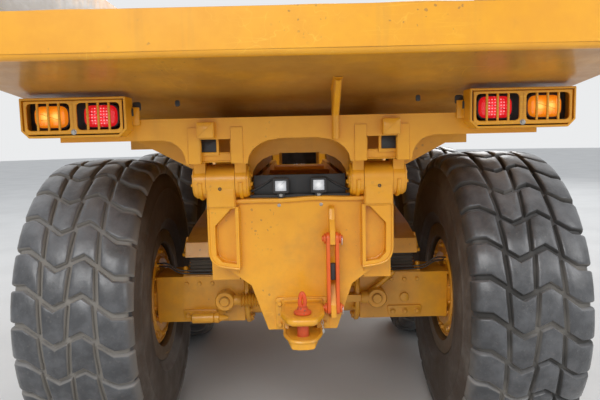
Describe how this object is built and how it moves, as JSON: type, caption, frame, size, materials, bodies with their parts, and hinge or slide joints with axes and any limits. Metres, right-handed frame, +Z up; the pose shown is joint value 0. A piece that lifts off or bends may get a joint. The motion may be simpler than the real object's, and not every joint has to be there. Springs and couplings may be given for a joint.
{
  "type": "articulated dump truck",
  "caption": "Articulated off-road dump truck with a hinged frame, tipping bed, tilting bonnet and driven wheels on a walking-beam bogie.",
  "frame": {"origin": "on the ground, under the middle of the machine's bounding box", "axes": "+Y forward towards the bumper, +X to the driver's right, +Z up"},
  "size_m": [2.88, 10.05, 3.5399],
  "materials": {
    "yellow_paint": "dusty golden yellow paint",
    "black_paint": "dusty black paint",
    "engine_iron": "dark grey iron",
    "orange_paint": "orange-red paint",
    "lamp_glass": "clear lamp glass",
    "lamp_plastic": "amber and red lamp lenses",
    "seat_cloth": "dark woven cloth",
    "cab_glass": "tinted cab glass",
    "rod_chrome": "polished cylinder rod",
    "rubber": "black rubber",
    "tyre_rubber": "dusty tyre rubber"
  },
  "bodies": {
    "front_unit": {"front_frame": "yellow_paint", "bumper": "black_paint", "headlamps": "lamp_glass", "engine": "engine_iron", "radiator": "black_paint", "front_axle": "yellow_paint", "mudguards": "yellow_paint", "steps": "black_paint", "side_tanks": "yellow_paint", "exhaust": "engine_iron", "mirrors": "black_paint", "cab_shell": "yellow_paint", "cab_roof": "yellow_paint", "cab_glass": "cab_glass", "seat": "seat_cloth", "steering_column": "black_paint"},
    "door": {"cab_door": "yellow_paint", "door_glass": "cab_glass"},
    "bonnet": {"bonnet": "yellow_paint", "grille": "black_paint"},
    "yoke": {"hitch_yoke": "yellow_paint"},
    "steer_barrel_left": {"steer_barrel_left": "black_paint"},
    "steer_barrel_right": {"steer_barrel_right": "black_paint"},
    "steer_rod_left": {"steer_rod_left": "rod_chrome"},
    "steer_rod_right": {"steer_rod_right": "rod_chrome"},
    "rear_unit": {"rear_frame": "yellow_paint", "tail_plate": "yellow_paint", "tow_hitch": "yellow_paint", "hitch_pin": "orange_paint", "prop_strut": "orange_paint", "work_lamps": "black_paint", "bogie_axles": "yellow_paint", "walking_beams": "yellow_paint", "rubber_blocks": "rubber"},
    "bed": {"bed_shell": "yellow_paint", "bed_beams": "yellow_paint", "tail_bolster": "yellow_paint", "lamp_boxes": "yellow_paint", "tail_lamps": "lamp_plastic"},
    "tip_barrel_left": {"tip_barrel_left": "yellow_paint"},
    "tip_barrel_right": {"tip_barrel_right": "yellow_paint"},
    "tip_rod_left": {"tip_rod_left": "rod_chrome"},
    "tip_rod_right": {"tip_rod_right": "rod_chrome"},
    "wheel_front_left": {"rim_front_left": "yellow_paint", "tyre_front_left": "tyre_rubber"},
    "wheel_front_right": {"rim_front_right": "yellow_paint", "tyre_front_right": "tyre_rubber"},
    "wheel_mid_left": {"rim_mid_left": "yellow_paint", "tyre_mid_left": "tyre_rubber"},
    "wheel_mid_right": {"rim_mid_right": "yellow_paint", "tyre_mid_right": "tyre_rubber"},
    "wheel_rear_left": {"rim_rear_left": "yellow_paint", "tyre_rear_left": "tyre_rubber"},
    "wheel_rear_right": {"rim_rear_right": "yellow_paint", "tyre_rear_right": "tyre_rubber"}
  },
  "joints": [
    {"name": "steering", "type": "hinge", "parent": "front_unit", "child": "yoke", "pos_m": [0, 0.975, 1], "axis": [0, 0, 1], "range_deg": [-45, 45]},
    {"name": "oscillation", "type": "hinge", "parent": "yoke", "child": "rear_unit", "pos_m": [0, 0.375, 1], "axis": [0, 1, 0], "range_deg": [-12, 12]},
    {"name": "bed_tip", "type": "hinge", "parent": "rear_unit", "child": "bed", "pos_m": [0, -4.275, 1.52], "axis": [1, 0, 0], "range_deg": [0, 70]},
    {"name": "bonnet_tilt", "type": "hinge", "parent": "front_unit", "child": "bonnet", "pos_m": [0, 4.9, 1.13], "axis": [-1, 0, 0], "range_deg": [0, 65]},
    {"name": "cab_door_swing", "type": "hinge", "parent": "front_unit", "child": "door", "pos_m": [-0.815, 1.685, 2.5], "axis": [0, 0, 1], "range_deg": [0, 80]},
    {"name": "tip_barrel_left", "type": "hinge", "parent": "rear_unit", "child": "tip_barrel_left", "pos_m": [-0.54, -1.15, 1.08], "axis": [-1, 0, 0], "range_deg": [0, 13.93]},
    {"name": "tip_rod_left", "type": "slide", "parent": "tip_barrel_left", "child": "tip_rod_left", "axis": [0, -0.9582, 0.2862], "range_m": [0, 1.3059]},
    {"name": "tip_barrel_right", "type": "hinge", "parent": "rear_unit", "child": "tip_barrel_right", "pos_m": [0.54, -1.15, 1.08], "axis": [-1, 0, 0], "range_deg": [0, 13.93]},
    {"name": "tip_rod_right", "type": "slide", "parent": "tip_barrel_right", "child": "tip_rod_right", "axis": [0, -0.9582, 0.2862], "range_m": [0, 1.3059]},
    {"name": "steer_barrel_left", "type": "hinge", "parent": "front_unit", "child": "steer_barrel_left", "pos_m": [-0.52, 1.855, 0.82], "axis": [0, 0, 1], "range_deg": [-5, 5]},
    {"name": "steer_rod_left", "type": "slide", "parent": "steer_barrel_left", "child": "steer_rod_left", "axis": [0.1961, -0.9806, 0], "range_m": [-0.2478, 0.2478]},
    {"name": "steer_barrel_right", "type": "hinge", "parent": "front_unit", "child": "steer_barrel_right", "pos_m": [0.52, 1.855, 0.82], "axis": [0, 0, 1], "range_deg": [-5, 5]},
    {"name": "steer_rod_right", "type": "slide", "parent": "steer_barrel_right", "child": "steer_rod_right", "axis": [-0.1961, -0.9806, 0], "range_m": [-0.2478, 0.2478]},
    {"name": "wheel_front_left_spin", "type": "hinge", "parent": "front_unit", "child": "wheel_front_left", "pos_m": [-1.08, 2.325, 0.805], "axis": [1, 0, 0], "continuous": true},
    {"name": "wheel_front_right_spin", "type": "hinge", "parent": "front_unit", "child": "wheel_front_right", "pos_m": [1.08, 2.325, 0.805], "axis": [1, 0, 0], "continuous": true},
    {"name": "wheel_mid_left_spin", "type": "hinge", "parent": "rear_unit", "child": "wheel_mid_left", "pos_m": [-1.08, -1.855, 0.805], "axis": [1, 0, 0], "continuous": true},
    {"name": "wheel_mid_right_spin", "type": "hinge", "parent": "rear_unit", "child": "wheel_mid_right", "pos_m": [1.08, -1.855, 0.805], "axis": [1, 0, 0], "continuous": true},
    {"name": "wheel_rear_left_spin", "type": "hinge", "parent": "rear_unit", "child": "wheel_rear_left", "pos_m": [-1.08, -3.525, 0.805], "axis": [1, 0, 0], "continuous": true},
    {"name": "wheel_rear_right_spin", "type": "hinge", "parent": "rear_unit", "child": "wheel_rear_right", "pos_m": [1.08, -3.525, 0.805], "axis": [1, 0, 0], "continuous": true}
  ],
  "couplings": [
    {"joint": "tip_barrel_left", "follows": "bed_tip", "ratio": 0.19822},
    {"joint": "tip_rod_left", "follows": "bed_tip", "m_per_rad": 1.068},
    {"joint": "steer_barrel_left", "follows": "steering", "ratio": 0.11},
    {"joint": "steer_rod_left", "follows": "steering", "m_per_rad": 0.3142},
    {"joint": "tip_barrel_right", "follows": "bed_tip", "ratio": 0.19822},
    {"joint": "tip_rod_right", "follows": "bed_tip", "m_per_rad": 1.068},
    {"joint": "steer_barrel_right", "follows": "steering", "ratio": 0.11},
    {"joint": "steer_rod_right", "follows": "steering", "m_per_rad": -0.3142}
  ]
}
